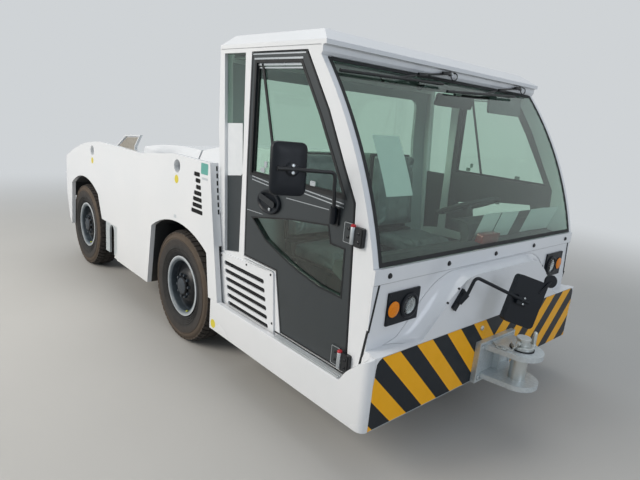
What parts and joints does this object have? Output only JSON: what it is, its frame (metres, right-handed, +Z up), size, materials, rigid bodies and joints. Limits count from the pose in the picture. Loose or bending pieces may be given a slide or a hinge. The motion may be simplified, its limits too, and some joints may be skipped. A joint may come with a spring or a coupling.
{
  "type": "pushback tractor",
  "caption": "White four-wheeled pushback tractor with a low body, a short cab over the striped front bumper, an engine hood behind and a pin hitch at each end.",
  "frame": {"origin": "on the floor in the middle of the length between the two hitch noses, on the centre plane", "axes": "+X forward, +Y to the tractor's left, +Z up"},
  "size_m": [4.992, 2.4826, 2.1219],
  "materials": {
    "white_paint": "glossy white, dirty at its lower edges",
    "striped_paint": "yellow with dark slanted stripes",
    "charcoal_paint": "satin charcoal",
    "chassis_paint": "dusty dark grey",
    "black_steel": "satin black",
    "tinted_glass": "green-tinted, clear",
    "galvanised_steel": "matte zinc",
    "bright_steel": "plated, worn",
    "tyre_rubber": "dusty, brown at the shoulders",
    "rim_paint": "satin silver and blue grey",
    "lamp_plastic": "clear and amber lenses",
    "mirror_shell": "grained black",
    "seat_cover": "woven, under clear film"
  },
  "bodies": {
    "body": {"arch_liners": "chassis_paint", "bumper_plate": "striped_paint", "cab_floor": "charcoal_paint", "cab_frame": "white_paint", "cab_rear_wall": "white_paint", "cab_windows": "tinted_glass", "chassis_frame": "chassis_paint", "dashboard": "mirror_shell", "door_hinges": "black_steel", "engine_block": "chassis_paint", "front_axle": "chassis_paint", "front_hitch": "galvanised_steel", "front_mirror": "mirror_shell", "head_lamps": "lamp_plastic", "hitch_pin": "bright_steel", "lashing_plates": "white_paint", "louvre_panels": "charcoal_paint", "nose_cover": "white_paint", "nose_panel": "white_paint", "quarter_panels": "charcoal_paint", "rear_axle": "chassis_paint", "rear_bumper": "white_paint", "rear_cowl": "white_paint", "rear_deck": "white_paint", "rear_hitch": "galvanised_steel", "roof": "white_paint", "seats": "seat_cover", "side_panel_left": "white_paint", "side_panel_right": "white_paint", "sills": "white_paint", "steering_wheel": "mirror_shell", "tail_lamps": "lamp_plastic", "windscreen": "tinted_glass", "windscreen_strip": "white_paint", "wipers": "black_steel"},
    "knuckle_right": {"knuckle_right": "chassis_paint"},
    "knuckle_left": {"knuckle_left": "chassis_paint"},
    "door_right": {"door_right": "charcoal_paint", "door_glass_right": "tinted_glass", "door_fittings_right": "black_steel", "door_mirror": "mirror_shell"},
    "door_left": {"door_left": "charcoal_paint", "door_glass_left": "tinted_glass", "door_fittings_left": "black_steel"},
    "hood": {"engine_hood": "white_paint"},
    "wheel_front_right": {"rim_front_right": "rim_paint", "tyre_front_right": "tyre_rubber"},
    "wheel_front_left": {"rim_front_left": "rim_paint", "tyre_front_left": "tyre_rubber"},
    "wheel_rear_right": {"rim_rear_right": "rim_paint", "tyre_rear_right": "tyre_rubber"},
    "wheel_rear_left": {"rim_rear_left": "rim_paint", "tyre_rear_left": "tyre_rubber"}
  },
  "joints": [
    {"name": "steer_right", "type": "hinge", "parent": "body", "child": "knuckle_right", "pos_m": [0.294, -0.88, 0.41], "axis": [0, 0, 1], "range_deg": [-30, 30]},
    {"name": "steer_left", "type": "hinge", "parent": "body", "child": "knuckle_left", "pos_m": [0.294, 0.88, 0.41], "axis": [0, 0, 1], "range_deg": [-30, 30]},
    {"name": "roll_front_right", "type": "hinge", "parent": "knuckle_right", "child": "wheel_front_right", "pos_m": [0.294, -0.9475, 0.41], "axis": [0, 1, 0], "continuous": true},
    {"name": "roll_front_left", "type": "hinge", "parent": "knuckle_left", "child": "wheel_front_left", "pos_m": [0.294, 0.9475, 0.41], "axis": [0, 1, 0], "continuous": true},
    {"name": "roll_rear_right", "type": "hinge", "parent": "body", "child": "wheel_rear_right", "pos_m": [-1.785, -0.9475, 0.41], "axis": [0, 1, 0], "continuous": true},
    {"name": "roll_rear_left", "type": "hinge", "parent": "body", "child": "wheel_rear_left", "pos_m": [-1.785, 0.9475, 0.41], "axis": [0, 1, 0], "continuous": true},
    {"name": "door_right_hinge", "type": "hinge", "parent": "body", "child": "door_right", "pos_m": [1.972, -1.06, 0.9], "axis": [0, 0, 1], "range_deg": [0, 80]},
    {"name": "door_left_hinge", "type": "hinge", "parent": "body", "child": "door_left", "pos_m": [1.972, 1.06, 0.9], "axis": [0, 0, -1], "range_deg": [0, 80]},
    {"name": "hood_hinge", "type": "hinge", "parent": "body", "child": "hood", "pos_m": [-0.356, 0, 1.352], "axis": [0, 1, 0], "range_deg": [0, 60]}
  ],
  "couplings": [
    {"joint": "steer_left", "follows": "steer_right", "ratio": 1}
  ]
}
